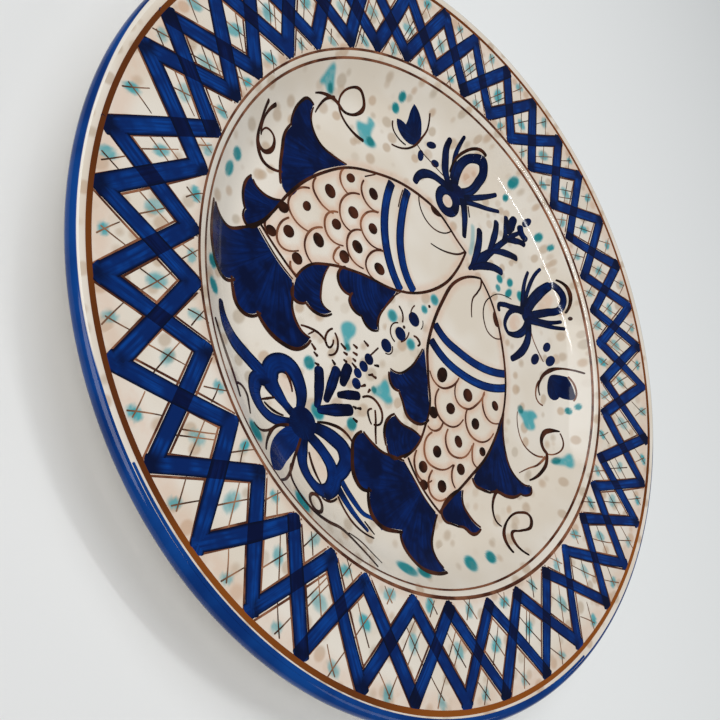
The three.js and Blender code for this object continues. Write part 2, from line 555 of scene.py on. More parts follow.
CREAM_GLAZE = painted_glaze()
PLAIN_GLAZE = plain_glaze()
CLAY = bare_clay()
LIP_BLUE = lip_glaze()
ONE_COAT = brushed("cobalt_one_coat", (0.0015, 0.050, 0.27), (0.0008, 0.018, 0.12), (0.0006, 0.003, 0.02))
TWO_COATS = brushed(
    "cobalt_two_coats", (0.0008, 0.010, 0.075), (0.0006, 0.004, 0.035), (0.0005, 0.003, 0.02)
)
BOW_BLUE = brushed("cobalt_bow", (0.001, 0.030, 0.19), (0.0008, 0.012, 0.085), (0.0006, 0.003, 0.02), 0.6)
FIN_BLUE = brushed(
    "cobalt_fin", (0.0008, 0.019, 0.135), (0.0006, 0.0045, 0.034), (0.0005, 0.002, 0.015), 0.5
)
NAVY = brushed("cobalt_dark", (0.001, 0.016, 0.095), (0.0007, 0.005, 0.038), (0.0005, 0.002, 0.016))
BLUES = [ONE_COAT, TWO_COATS]
NAVIES = [NAVY, TWO_COATS]
BROWN = line_colour("brown_line", (0.075, 0.020, 0.008), (0.012, 0.004, 0.002))
RUSSET = line_colour("brown_thin_line", (0.30, 0.12, 0.06), (0.065, 0.018, 0.008))
RUST = line_colour("brown_ring", (0.27, 0.074, 0.008), (0.12, 0.030, 0.005), 0.012)
OLIVE = line_colour("brown_cross", (0.36, 0.18, 0.10), (0.06, 0.028, 0.015))


def build_lines(lines, name, lift=BROWN_LIFT, colour=BROWN):
    """Thin brown lines, dots or ticks, as one body."""
    lines.build(name, lift, [colour], "brown_line", grid=0)


# ---------------------------------------------------------------- soft colours on the glaze

PEACH_WASH, TURQUOISE_WASH, GROUND, DEEP_WASH = range(4)


class Wash:
    """Soft colours at the vertices of a glaze: one amount each of peach, turquoise, sponged ground
    and deep turquoise."""

    def __init__(self, piece):
        coords = np.zeros(3 * len(piece.data.vertices))
        piece.data.vertices.foreach_get("co", coords)
        self.piece = piece
        self.points = coords.reshape(-1, 3)[:, :2] / MM
        self.amounts = np.zeros((len(self.points), 4))
        self.amounts[:, GROUND] = 1

    def lay(self, channel, near, amount):
        self.amounts[near, channel] = np.maximum(self.amounts[near, channel], amount)

    def dab(self, channel, x, y, rx, ry=None, turn=0, amount=1.0):
        """A soft ellipse."""
        reach = 1.3 * max(rx, ry or rx)
        near = np.flatnonzero(np.abs(self.points - (x, y)).max(axis=1) < reach)
        along, across = (self.points[near] - (x, y)).T
        c, s = math.cos(math.radians(turn)), math.sin(math.radians(turn))
        distance = np.hypot((along * c + across * s) / rx, (across * c - along * s) / (ry or rx))
        self.lay(channel, near, amount * fade(distance, 1.15, 0.75))

    def _distance(self, route, reach):
        """The vertices round a route, and how far each is from it, up to the reach."""
        low, high = route.min(axis=0) - reach, route.max(axis=0) + reach
        near = np.flatnonzero(((self.points > low) & (self.points < high)).all(axis=1))
        distance = np.full(len(near), float(reach))
        for a, b in zip(route, route[1:]):
            offset = self.points[near] - a
            t = np.clip(offset @ (b - a) / max((b - a) @ (b - a), 1e-9), 0, 1)
            distance = np.minimum(distance, np.linalg.norm(offset - t[:, None] * (b - a), axis=1))
        return near, distance

    def line(self, channel, route, reach, amount=1.0, solid=0.3):
        """A soft band round a route; it is solid for the given share of its reach."""
        near, distance = self._distance(smooth(route, step=1.5), reach)
        self.lay(channel, near, amount * fade(distance, reach, solid * reach))

    def inside(self, outline):
        x, y = self.points.T
        odd = np.zeros(len(x), bool)
        for (xa, ya), (xb, yb) in zip(outline, np.roll(outline, -1, axis=0)):
            if ya != yb:
                odd ^= ((ya > y) != (yb > y)) & (x < xa + (y - ya) * (xb - xa) / (yb - ya))
        return odd

    def patch(self, channel, outline, amount):
        """A filled shape with a soft edge."""
        outline = smooth(outline, closed=True)
        near, distance = self._distance(np.vstack([outline, outline[:1]]), 1.5)
        distance *= np.where(self.inside(outline)[near], -1, 1)
        self.lay(channel, near, amount * fade(distance, 0.9, -0.9))

    def clear(self, outline):
        """No sponged ground inside the outline."""
        self.amounts[self.inside(outline), GROUND] = 0

    def apply(self):
        layer = self.piece.data.color_attributes.new("wash", "FLOAT_COLOR", "POINT")
        layer.data.foreach_set("color", self.amounts.ravel())


def fade(distance, zero, one):
    """1 at one and nearer, 0 at zero and further, with soft ends."""
    t = np.clip((distance - zero) / (one - zero), 0, 1)
    return t * t * (3 - 2 * t)


# ---------------------------------------------------------------- the plate

WELL_EDGE = 108.2  # the inner brown ring hides where the well's and the rim's glaze meet


def make_plate():
    """The clay and its coats of glaze. Gives the washes of the well and of the rim."""
    split = np.searchsorted(FACE[:, 0], WELL_EDGE)
    seam = np.array([[WELL_EDGE, face_height(WELL_EDGE)]])
    lip = arc(BEAD_TOP, BAND_END, 24)
    well = shell("glaze_well", np.vstack([FACE[:split], seam]), 720, step=0.8)
    rim = shell("glaze_rim", np.vstack([seam, FACE[split:]]), 900, step=1.1)
    for piece in (well, rim):
        piece.data.materials.append(CREAM_GLAZE)
        finish_piece(piece, "cream_glaze", "face_glaze")
    band = shell("glaze_lip_band", lip, 720)
    band.data.materials.append(LIP_BLUE)
    finish_piece(band, "cobalt_glaze", "lip_band")
    for name, profile, node in (
        ("back", back_profile(), "back_glaze"), ("recess", recess_profile(), "recess_glaze")
    ):
        coat = shell(f"glaze_{name}", profile, 360, step=4.0)
        coat.data.materials.append(PLAIN_GLAZE)
        finish_piece(coat, "cream_glaze", node)
    glazed = [inset(p, COAT + GAP) for p in (FACE, lip[1:], back_profile())]
    ceiling = inset(recess_profile(), COAT + GAP)
    clay = revolve("clay", densify(np.vstack([*glazed, foot_profile(), ceiling]), 6.0), 360)
    clay.data.materials.append(CLAY)
    finish_piece(clay, "bare_clay", "clay_body")
    return Wash(well), Wash(rim)


# ---------------------------------------------------------------- the rim

OUTER_TIPS = [
    -3.5, -14.5, -24.5, -34.5, -43, -53, -62.5, -72.5, -81, -91, -101, -112.5, -122.5, -133, -141, -154,
    -160.5,
    -171, -179, -189, -198, -206.5, -216, -225.5, -233.5, -243, -251.5, -261, -269.5, -279.5, -289.5,
    -298.5,
    -307, -315.5, -326.5, -336, -344.5, -354,
]  # degrees from +X, clockwise
INNER_TIPS = [
    -5.5, -14.5, -25, -34, -45, -54, -65.5, -73.5, -82.5, -92, -101, -112.5, -123, -132, -143, -151, -160.5,
    -168.5, -179, -187.5, -197.5, -205.5, -214.5, -223.5, -233, -242, -250.5, -259.5, -270.5, -279.5, -290,
    -299, -307.5, -317, -325.5, -337.5, -345.5, -355,
]
OUTER_RADIUS = 141.5
INNER_RADIUS = 112.0
ZIGZAG_WIDTH = 5.4
BROADER_LEFT = 0.007  # the strokes are broader on the plate's left, by this share of -X
OWN_COAT_SHARE = 0.12  # of the zigzags' strokes, which darken even their own zigzag
THIRD_LINE_SHARE = 0.4  # of the diamonds, which have a second line beside one of their cross's


def jitter(size):
    return rng.uniform(-size, size)


def tip(angles, radius, k):
    return np.array(polar(angles[k % len(angles)], radius))


def zigzag_strokes():
    """Each stroke's ends, from an outer tip to the inner tips on either side of it, and which of the
    two interlaced zigzags it belongs to."""
    return [
        (tip(OUTER_TIPS, OUTER_RADIUS, k), tip(INNER_TIPS, INNER_RADIUS, k + side), k % 2)
        for k in range(len(OUTER_TIPS))
        for side in (-1, 1)
    ]


def shifted(start, end, near_start, near_end):
    """The line moved sideways by one distance at its start and another at its end."""
    along = (end - start) / np.linalg.norm(end - start)
    normal = np.array([-along[1], along[0]])
    return [start + normal * near_start - along * 0.8, end + normal * near_end + along * 0.8]


def rim_painting(wash):
    blue, lines, crosses = Paint(), Paint(), Paint()
    zigzags = blue.next_coat(), blue.next_coat()
    for start, end, zigzag in zigzag_strokes():
        along = (end - start) / np.linalg.norm(end - start)
        middle = (start + end) / 2 + (jitter(0.5), jitter(0.5))
        widths = [ZIGZAG_WIDTH + jitter(0.5) - BROADER_LEFT * middle[0] for _ in range(3)]
        route = [start - (1.8 + jitter(0.7)) * along, middle, end + 1.8 * along]
        own_coat = rng.random() < OWN_COAT_SHARE
        blue.stroke(route, widths, step=1.5, coat=None if own_coat else zigzags[zigzag], blunt=True)
        for side in (-1, 1):
            drift = [side * (width / 2 + 0.2 + jitter(0.5)) for width in widths[::2]]
            edge = shifted(start, end, *drift)
            bend = sum(edge) / 2 + (jitter(0.3), jitter(0.3))
            lines.stroke([edge[0], bend, edge[1]], [0.7, 0.8, 0.6], step=2)
    for k in range(len(OUTER_TIPS)):
        cell_painting(wash, crosses, k)
    blue.build("rim_zigzag", BLUE_LIFT, BLUES, "cobalt_glaze", grid=0)
    build_lines(lines, "rim_outlines", UNDER_LIFT, RUSSET)
    build_lines(crosses, "rim_cell_crosses", CROSS_LIFT, OLIVE)
    wash.line(PEACH_WASH, ring(OUTER_RADIUS), 6.5, 0.35, solid=0.1)
    wash.line(PEACH_WASH, ring(109), 4, 0.30, solid=0.1)


def cell_painting(wash, crosses, k):
    """A thin cross and a turquoise dab in a diamond and in the triangles outside and inside it."""
    top, bottom = tip(OUTER_TIPS, OUTER_RADIUS, k), tip(INNER_TIPS, INNER_RADIUS, k)
    ways = [tip(INNER_TIPS, INNER_RADIUS, k + side) - top for side in (-1, 1)]
    ways = [way / np.linalg.norm(way) for way in ways]
    next_top, next_bottom = tip(OUTER_TIPS, OUTER_RADIUS, k + 1), tip(INNER_TIPS, INNER_RADIUS, k + 1)
    diamond = (top + bottom) * 0.5 * 0.985
    outer = (top + next_top) / 2 * 0.995
    inner = (bottom + next_bottom) / 2
    for centre, inwards, outwards in ((diamond, 7.4, 7.4), (outer, 7.4, 2.6), (inner, 3.0, 4.6)):
        crossing = [(ways[0], 0), (ways[1], 0)]
        if centre is diamond and rng.random() < THIRD_LINE_SHARE:
            crossing.append((ways[0], 3.4))
        for way, shift in crossing:
            spot = centre + ways[1] * shift + (jitter(1.0), jitter(1.0))
            ends = [spot - way * (outwards + jitter(1.0)), spot + way * (inwards + jitter(1.2))]
            bend = sum(ends) / 2 + (jitter(0.25), jitter(0.25))
            crosses.stroke([ends[0], bend, ends[1]], [0.5, 0.45, 0.35], step=2)
        x, y = centre + (jitter(1.0), jitter(1.0))
        size = (2.8 if centre is diamond else 2.2) + jitter(0.4)
        wash.dab(TURQUOISE_WASH, x, y, size * 1.25, size * 0.85, jitter(90), 0.74 + jitter(0.20))
        wash.dab(DEEP_WASH, x, y, size * 0.6, size * 0.4, jitter(90), 0.22 + jitter(0.18))


def ring(radius, wobble=0.12, count=120):
    """A circle with the slight wobble of a brush held over the turning wheel."""
    turns = np.arange(count + 1) * 2 * math.pi / count
    radii = radius + wobble * np.sin(3 * turns + radius) + wobble * np.sin(5 * turns)
    return np.column_stack([radii * np.cos(turns), radii * np.sin(turns)])


def rings():
    """The two thin rings where the well meets the rim, the brown ring inside the lip and, at the
    plate's lower right, where the lip's blue runs onto the face."""
    outer, inner, lip = Paint(), Paint(), Paint()
    lip.stroke(
        [polar(angle, 146.8) for angle in range(258, 348, 3)], [0.8, 1.4, 1.5, 1.5, 1.4, 0.8], step=3
    )
    outer.stroke(ring(144.5), [1.5, 1.3, 1.2, 1.4, 1.8, 2.0, 1.9, 1.5], step=3)
    inner.stroke(ring(WELL_EDGE), [1.2, 0.9, 1.1, 0.8, 1.1, 1.3, 1.2], step=3)
    inner.stroke(ring(105.2), [0.8, 1.0, 0.7, 0.9, 1.1, 0.7, 0.8], step=3)
    lip.build("lip_edge", DARK_LIFT, [LIP_BLUE], "cobalt_glaze", grid=0)
    build_lines(outer, "ring_outer", RING_LIFT, RUST)
    build_lines(inner, "rings_inner", RING_LIFT, RUSSET)


# ---------------------------------------------------------------- the two fish


def beside(route, distance):
    """The smooth route, moved to its left."""
    line = smooth(route)
    along = np.gradient(line, axis=0)
    along /= np.linalg.norm(along, axis=1)[:, None]
    return line[::3] + np.column_stack([-along[:, 1], along[:, 0]])[::3] * distance


def fin(blue, lines, runs, widths, root, arched=False):
    """A blue fin with a brown edge of its own width along each run of its outline; 0 leaves it out.
    Runs go clockwise or anticlockwise, and here and there the edge misses the blue a little."""
    blue.fill(runs, root, arched)
    corners = np.vstack(runs)
    after = np.roll(corners, -1, axis=0)
    clockwise = (corners[:, 0] * after[:, 1] - after[:, 0] * corners[:, 1]).sum() < 0
    for run, following, width in zip(runs, runs[1:] + runs[:1], widths):
        if width:
            outside = (0.25 * width + rng.uniform(0, 0.45)) * (1 if clockwise else -1)
            lines.stroke(
                beside([*run, following[0]], outside), [0.7 * width, 1.1 * width, width, 0.7 * width]
            )


def scales(paint, wash, arcs):
    for route in arcs:
        paint.stroke(route, [0.8, 1.0, 0.8, 0.6])
        wash.line(PEACH_WASH, route, 3.4, 0.62, solid=0.15)


def dots(paint, places):
    """Each is a place and two half widths."""
    for x, y, rx, ry in places:
        paint.dot(x, y, rx, ry, jitter(25))


def fish_colours(wash, back, belly, band):
    """Peach along the outline and the upper band, and no sponged ground inside."""
    for route in (back, belly, band):
        wash.line(PEACH_WASH, route, 4.8, 0.42, solid=0.3)
    wash.clear(smooth(back + belly[:0:-1], closed=True, step=2))


def build_fish(name, bands, fins, scale_lines, lines):
    bands.build(f"{name}_bands", BLUE_LIFT, BLUES, "cobalt_glaze", grid=0)
    fins.build(f"{name}_fins", BLUE_LIFT, [FIN_BLUE], "cobalt_glaze")
    build_lines(scale_lines, f"{name}_scales", BROWN_LIFT, RUSSET)
    build_lines(lines, f"{name}_lines", DARK_LIFT)


LEFT_BACK = [
    (-8, 46), (-14, 45), (-21, 44.5), (-28, 43.5), (-39.5, 38), (-50, 29.5), (-58, 19.5), (-65.5, 6.5),
    (-68.5, -6), (-69.5, -18), (-68.5, -29.5), (-66, -41), (-65.5, -47), (-66.5, -53),
]
LEFT_BELLY = [
    (-8, 46), (-5, 35), (-4, 25), (-6, 12.5), (-11.5, 0), (-16, -6), (
        -30, -18.5
    ), (-39.5, -30), (-43.5, -38),
    (-43, -47),
]
LEFT_BANDS = [
    [(-44.5, 32), (-38, 21), (-27, 9), (-19, 4.5), (-11, 3)],
    [(-51, 25.5), (-45, 15), (-34, 4), (-25, -1), (-15, -3.5)],
]
RIGHT_BACK = [
    (5.5, 46), (15, 45), (25.5, 41), (36, 34.5), (47, 25), (55.5, 13), (59.5, 1.5), (62, -12), (61.5, -24),
    (61, -32), (60, -41), (60, -48.5),
]
RIGHT_BELLY = [
    (5.5, 46), (1, 39), (-1.5, 28), (1, 14.5), (7, -1.5), (9.5, -6), (18.5, -15), (28.5, -24), (32, -31),
    (34.5, -38), (34, -49),
]
RIGHT_BANDS = [
    [(6, 4), (13, 4.5), (21.5, 8), (34.5, 16), (44.5, 27)],
    [(9.5, -3), (19, -2), (31, 3.5), (42.5, 13), (49, 22.5)],
]


def left_fish(wash):
    lines, thin, blue, fins = Paint(), Paint(), Paint(), Paint()
    lines.stroke(LEFT_BACK, [1.0, 1.4, 1.1, 1.3, 1.0])
    lines.stroke(LEFT_BELLY, [1.1, 1.4, 1.0, 1.2, 1.0])
    lines.stroke([(-65, -48), (-55, -48), (-43, -47)], 0.9)
    lines.stroke([(-8.5, 45.5), (-9.5, 41), (-12.5, 36), (-16.5, 31.5), (-21, 28)], [1.0, 0.8, 0.5])
    lines.stroke([(-40.5, 37.5), (-37, 34.5), (-30.5, 33), (-24, 35.5), (-20.5, 40), (-19.5, 44.5)], 0.6)
    lines.stroke([(-46, 29.5), (-44, 25.5), (-41.5, 21.5)], 0.5)
    lines.fill([[(-34, 41), (-31, 42.5)], [(-27, 43.6), (-28.5, 41.2), (-31.5, 39.8)]])
    lines.stroke([(-59, 13), (-57.5, 19)], 0.6)
    for route in LEFT_BANDS:
        blue.stroke(route, [4.0, 4.2, 4.3, 4.1], blunt=True)
    scales(thin, wash, [
        [(-58, 11), (-55.5, 7), (-51.5, 5.5), (-47, 6.5), (-44.5, 9)],
        [(-66, 5), (-64.5, 0.5), (-61, -1.5), (-57, -1)],
        [(-44.5, 8.5), (-47, 2), (-44.5, -4), (-40, -5.5), (-35.5, -4.5), (-32, -1)],
        [(-54.5, 4.5), (-57, -2), (-55, -8.5), (-49, -12), (-44.5, -10.5)],
        [(-68.5, -12), (-66, -16), (-61.5, -17), (-54, -14)],
        [(-31, -0.5), (-33.5, -7), (-30.5, -13.5), (-24, -13)],
        [(-42.5, -5), (-44.5, -11), (-38.5, -18), (-30.5, -15.5)],
        [(-53.5, -11.5), (-55, -17), (-49, -22.5), (-42, -18.5)],
        [(-42.5, -20.5), (-42, -24), (-40, -26.5), (-37.5, -25.5)],
        [(-66.5, -18), (-68.5, -24), (-65, -32), (-60.5, -33), (-53.5, -30)],
        [(-52, -23), (-53.5, -29), (-49.5, -36), (-43.5, -37)],
        [(-61.5, -35), (-61, -41), (-56.5, -45.5), (-50, -39.5)],
        [(-48.5, -45.5), (-46, -47), (-44, -46.5)],
        [(-65, -45), (-63, -47), (-61, -47)],
    ])
    dots(lines, [
        (-51.5, 12, 2.6, 2.3), (-61.5, 5, 1.9, 2.3), (-40.5, 1, 2.3, 2.3), (-50, -4, 2.6, 2.5),
        (-61.5, -9, 2.9, 2.5), (-26.5, -7.7, 2.8, 2.3), (-38.5, -12, 2.8, 2.4), (-50, -15.5, 2.2, 2.3),
        (-38.5, -21, 2.6, 2.4), (-61.5, -24, 1.8, 2.1), (-49, -28, 2.9, 2.4), (-65.5, -34.5, 2.2, 2.4),
        (-57.5, -38.5, 2.4, 2.4), (-48, -42, 2.4, 2.2), (-61, -45.5, 2.3, 2.0),
    ])
    left_fins(fins, lines)
    fish_colours(wash, LEFT_BACK, LEFT_BELLY, LEFT_BANDS[0])
    build_fish("fish_left", blue, fins, thin, lines)


def left_fins(blue, lines):
    fin(blue, lines, [
        [(-66.5, 6.5), (-71, 3), (-77.5, -0.5), (-85.5, 0.5)],
        [(-92, 6.5), (-94.5, 4.5), (-94.5, -0.5), (-92, -6)],
        [(-89, -9), (-87.5, -13.5), (-83, -19), (-76, -26.5)],
        [(-72, -29.5), (-69, -29.5), (-69.5, -18), (-70, -9), (-69, -3)],
    ], [1.0, 1.1, 1.3, 0], (-68, 0))
    fin(blue, lines, [
        [(-68, -34), (-72, -39), (-76, -40.5)],
        [(-80, -40), (-79.5, -43), (-74, -49)],
        [(-71.5, -50), (-70.5, -52), (-67, -53), (-65.5, -47), (-66.5, -40.5)],
    ], [1.0, 1.2, 1.0], (-66, -38))
    fin(blue, lines, [
        [(-65, -50), (-66.5, -55.5), (-69.5, -62.5), (-74, -65)],
        [(-78.5, -65.5), (-75, -69), (-68.5, -74), (-61, -76), (-57, -75)],
        [(-55, -71), (-52, -73), (-46.5, -75), (-42.5, -73.5)],
        [(-41, -69.5), (-36.5, -70), (-28.5, -68), (-23.5, -64), (-22.5, -60)],
        [(-23, -57), (-26, -58.5), (-30.5, -58.5), (-35.5, -56.5), (-40, -52)],
        [(-43, -49.5), (-50, -50.5), (-58, -50.5)],
    ], [1.1, 1.5, 1.4, 1.5, 1.0, 0.6], (-54, -47))
    fin(blue, lines, [
        [(-15.5, -5.5), (-24.5, -13.5), (-31, -19)],
        [(-35, -23.5), (-35, -27.5), (-30.5, -30.5), (-27, -29.5)],
        [(-25.5, -27.5), (-24, -30.5), (-20.5, -31)],
        [(-17, -29), (-14.5, -29.5), (-11.5, -29)],
        [(-9, -26), (-12.5, -22), (-14, -16), (-14.5, -10.5)],
    ], [0, 1.2, 1.2, 1.0, 0.7], (-16, -8), arched=True)
    fin(blue, lines, [
        [(-39.5, -30), (-43.5, -38.5), (-43.5, -45)],
        [(-40.5, -50.5), (-37.5, -53), (-35, -51.5)],
        [(-34, -49), (-30, -48), (-26.5, -45)],
        [(-25.5, -42), (-30, -43.5), (-34.5, -40), (-38, -34.5)],
    ], [0, 1.2, 1.2, 0.8], (-41, -33), arched=True)
    lines.stroke([(-13.5, -2), (-14.5, -9.5), (-13.5, -17), (-12, -23), (-10, -25.5)], 0.6)


def right_fish(wash):
    lines, thin, blue, fins = Paint(), Paint(), Paint(), Paint()
    lines.stroke(RIGHT_BACK, [1.0, 1.3, 1.1, 1.3, 1.0])
    lines.stroke(RIGHT_BELLY, [1.0, 1.7, 1.5, 1.0, 1.0])
    lines.stroke([(35.5, -47.5), (42, -49), (51, -49.5), (60.5, -48.5)], 0.9)
    lines.stroke([(6, 46), (8, 43.5), (9, 39), (9.5, 34), (12, 30), (15, 27)], [1.0, 0.8, 0.5])
    lines.stroke([(15, 45.5), (15, 40), (17, 36), (20.5, 33), (25, 31.5), (29, 33), (32, 37)], 0.6)
    lines.stroke([(15, 45.5), (16, 50.5), (19.5, 55.5), (23, 58.5)], [0.5, 0.4])
    lines.fill([[(20.5, 43), (24, 41.5)], [(27.5, 39.8), (26.5, 38.6), (23.8, 39), (21.5, 40.8)]])
    for route in RIGHT_BANDS:
        blue.stroke(route, [4.1, 4.0, 3.9, 3.6], blunt=True)
    scales(thin, wash, [
        [(42.5, 9), (45, 4.5), (51, 2), (57, 6.5)],
        [(43, 8.5), (43.5, 2), (41, -6), (36.5, -8.5), (30, -3.5)],
        [(41.5, -6), (44, -10), (48.5, -12), (55, -9.5), (58, -4), (58, 0.5)],
        [(53.5, -13), (55.5, -16.5), (59, -19), (61.5, -18.5)],
        [(29.5, -0.5), (29.5, -6.5), (25.5, -13), (21.5, -14), (18, -13)],
        [(26, -14), (28, -19), (33.5, -22), (40.5, -19.5), (43, -11)],
        [(40.5, -21.5), (43, -26), (47, -27.5), (53, -23.5), (53.5, -14.5)],
        [(52.5, -29), (54, -32.5), (56.5, -34.5), (59, -35)],
        [(37, -22), (37.5, -26), (35, -29.5), (33, -30)],
        [(36, -30), (36.5, -36), (41.5, -40), (48, -37.5), (52, -29.5)],
        [(46.5, -40.5), (48.5, -45.5), (52, -47.5), (57, -45.5), (58.5, -42)],
        [(36, -42), (39, -46.5), (44.5, -48), (48, -46), (49, -43.5)],
    ])
    dots(lines, [
        (50.5, 10.5, 2.2, 2.0), (37.5, -1, 2.8, 2.8), (48.5, -6, 2.3, 2.5), (59, -11, 1.9, 1.9),
        (23, -8, 2.7, 3.5), (35.5, -14, 2.3, 2.6), (47.5, -20, 2.5, 2.1), (56, -27, 2.3, 2.3),
        (31, -23.5, 2.4, 2.4), (43, -33, 2.3, 2.4), (54, -40.5, 2.4, 2.4), (42.5, -43.5, 2.3, 2.3),
        (47.5, -48, 2.1, 1.9),
    ])
    right_fins(fins, lines)
    fish_colours(wash, RIGHT_BACK, RIGHT_BELLY, RIGHT_BANDS[0])
    build_fish("fish_right", blue, fins, thin, lines)


def right_fins(blue, lines):
    fin(blue, lines, [
        [(55.5, 13), (60, 7), (66.5, 1.5), (75, -2), (82, -1), (86.5, 1.5)],
        [(88, 3.5), (89.5, 2), (88.5, -1.5)],
        [(85.5, -4), (84, -8), (80.5, -12), (75.5, -15.5)],
        [(73, -19), (69, -22), (65.5, -24)],
        [(63, -23.5), (62, -18), (61.5, -8), (59.5, 0.5), (57, 7)],
    ], [1.0, 1.0, 1.4, 1.2, 0], (60, 0))
    fin(blue, lines, [
        [(62, -32.5), (66, -36.5), (71.5, -37)],
        [(79, -35), (78, -39), (72, -42)],
        [(70, -44), (66.5, -46.5), (64.5, -48), (61, -47.5), (60, -45), (60, -38)],
    ], [1.0, 1.3, 1.0], (61, -37))
    fin(blue, lines, [
        [(35, -50.5), (43.5, -51), (51, -51.5), (57, -51)],
        [(59.5, -50.5), (62, -56), (67, -62.5)],
        [(74, -65), (70, -70), (65, -73), (60.5, -73), (55.5, -71.5)],
        [(52, -68.5), (49.5, -71), (45, -74.5), (40, -75.5), (35, -73.5)],
        [(32, -70.5), (29.5, -73), (25, -73), (18.5, -68.5), (15, -64)],
        [(15.5, -59.5), (20, -59), (26.5, -57), (31, -53.5)],
    ], [0.6, 1.1, 1.5, 1.5, 1.5, 1.0], (48, -48))
    fin(blue, lines, [
        [(9.5, -9), (13.5, -12), (24.5, -21), (30, -26)],
        [(31, -28), (30, -32), (24, -36), (18, -34)],
        [(14, -33), (11, -34.5), (8, -33.5)],
        [(6, -31.5), (9.5, -29), (11.5, -22), (10.5, -13)],
    ], [0, 1.2, 1.2, 0.9], (11, -10), arched=True)
    fin(blue, lines, [
        [(34, -36.5), (30, -38), (24, -41.5)],
        [(20, -42), (19.5, -46), (21.5, -50), (25, -52.5)],
        [(26, -53), (30, -54), (33, -49), (34.5, -44), (34.5, -39)],
    ], [0.9, 1.2, 1.0], (34, -40), arched=True)


# ---------------------------------------------------------------- bows, sprigs, tulips and curls


def centre_line(wash):
    """Dots and small swirls between the two fish."""
    blue, lines = Paint(), Paint()
    for x, y, size in ((-2, -5.5, 3.1), (-1.5, -16.5, 2.9), (-2, -26.5, 2.8)):
        blue.dot(x, y, size, size * 0.92)
    for x, y in ((-1.5, 6.5), (-2.5, -12.8)):
        lines.dot(x, y, 0.7)
    lines.stroke([(-6, -1), (-5.5, -4), (-3.5, -6.5)], 0.6)
    lines.stroke([(1, -1.5), (2.5, -3), (3, -5)], 0.4)
    lines.stroke([(-5.5, -14.5), (-6.5, -18), (-4.5, -21), (-1, -21.5)], 0.6)
    lines.stroke([(0.5, -12), (1.5, -15), (1, -18.5)], 0.6)
    lines.stroke([(-10, -9), (-7, -9.5), (-4.5, -12)], 0.8)
    lines.stroke([(3, -10.5), (5, -9.5), (7, -10), (7, -11.5)], [0.8, 1.2, 0.8])
    lines.stroke([(0, -24), (1.5, -26.5), (0, -29)], 0.5)
    lines.stroke([(-3.5, -31), (-3.5, -36)], 0.7)
    blue.build("centre_dots", BLUE_LIFT, [NAVY], "cobalt_glaze")
    build_lines(lines, "centre_swirls")
    for x, y, size in ((-2, 11.5, 2.6), (-2, 3, 2), (-9, -15, 2.8), (4.5, -14.5, 2.6)):
        wash.dab(TURQUOISE_WASH, x, y, size, amount=0.9)
        wash.dab(DEEP_WASH, x, y, 0.7 * size, amount=0.6)


def top_sprig():
    blue = Paint()
    blue.stroke(
        [(-1.5, 42.5), (-1, 50), (0, 66), (1, 80), (2, 87), (3, 91)], [1.8, 6.0, 3.8, 3.1, 2.9, 2.0]
    )
    blue.stroke([(-1.5, 45), (-4, 52), (-7, 58), (-11, 63)], [2.4, 4.3, 3.8])
    blue.stroke([(-0.5, 45), (2, 52), (5.5, 58), (10, 62)], [2.4, 4.1, 3.8])
    blue.stroke([(-1, 61.5), (-3.5, 69), (-6, 74.5), (-8.5, 78)], [2.4, 4.1, 3.6])
    blue.stroke([(0.5, 64.5), (3.5, 70), (7, 74.5), (10.5, 78)], [2.2, 3.8, 3.4])
    blue.stroke([(0, 75.5), (-1.5, 80), (-4.5, 84), (-7, 87)], [1.9, 3.6, 3.1])
    blue.stroke([(1, 78), (3.5, 83), (6.5, 87.5), (8.5, 89)], [1.9, 3.4, 2.9])
    blue.stroke([(-1, 83), (-4, 91)], [3.0, 5.8, 4.2])
    blue.stroke([(1, 92), (4, 91), (7, 91.5)], [3.6, 3.1])
    blue.dot(0.8, 96.2, 1.9, 2.4)
    blue.build("sprig_top", BLUE_LIFT, NAVIES, "cobalt_glaze")


def left_bow(wash):
    blue, lines = Paint(), Paint()
    blue.stroke(
        [
            (-31, 63), (-28, 71), (-28.5, 80), (-31, 87), (-35, 88.5), (-39.5, 84), (-40, 75), (-37.5, 68),
            (-34, 62.5),
        ],
        [4.6, 4.4, 5.0, 4.2, 5.2, 5.0],
    )
    blue.stroke(ellipse(-30.8, 53, 5.2, 5.6), 4.6, closed=True)
    blue.dot(-30.5, 61.5, 5.0, 5.4)
    blue.stroke([(-34, 60), (-41, 62), (-46, 67), (-49.5, 71.5), (-52, 76)], [3.4, 4.6, 4.4, 3.0])
    blue.stroke([(-38, 64), (-41, 69), (-45, 75.5), (-49.5, 83.5)], [2.0, 2.8, 2.0])
    blue.stroke([(-27, 66), (-25.5, 69), (-23, 75.5), (-19, 88)], [2.8, 3.0, 2.2])
    blue.stroke([(-27, 62), (-21, 71), (-16.5, 77), (-12, 84)], [2.8, 2.6, 2.0])
    blue.stroke([(-26, 63), (-20.5, 58.5), (-16.5, 54), (-14, 51)], [4.6, 3.8, 2.6])
    blue.stroke(
        [(-35, 59), (-39.5, 56), (-43.5, 53), (-46.5, 48), (-47, 43.5), (-46, 40)], [3.8, 3.8, 4.4, 3.2]
    )
    lines.stroke(
        [(-40.5, 65.5), (-43.5, 74.5), (-44, 81), (-43, 86), (-40.5, 89.5), (-37, 91)], [1.0, 1.6, 1.2]
    )
    lines.stroke([(-23, 64.5), (-19, 61.5)], 0.8)
    blue.build("bow_left", BLUE_LIFT, NAVIES, "cobalt_glaze")
    build_lines(lines, "bow_left_lines")
    wash.dab(PEACH_WASH, -34, 77, 4, 8, amount=0.45)
    wash.dab(PEACH_WASH, -31, 53, 3, amount=0.5)


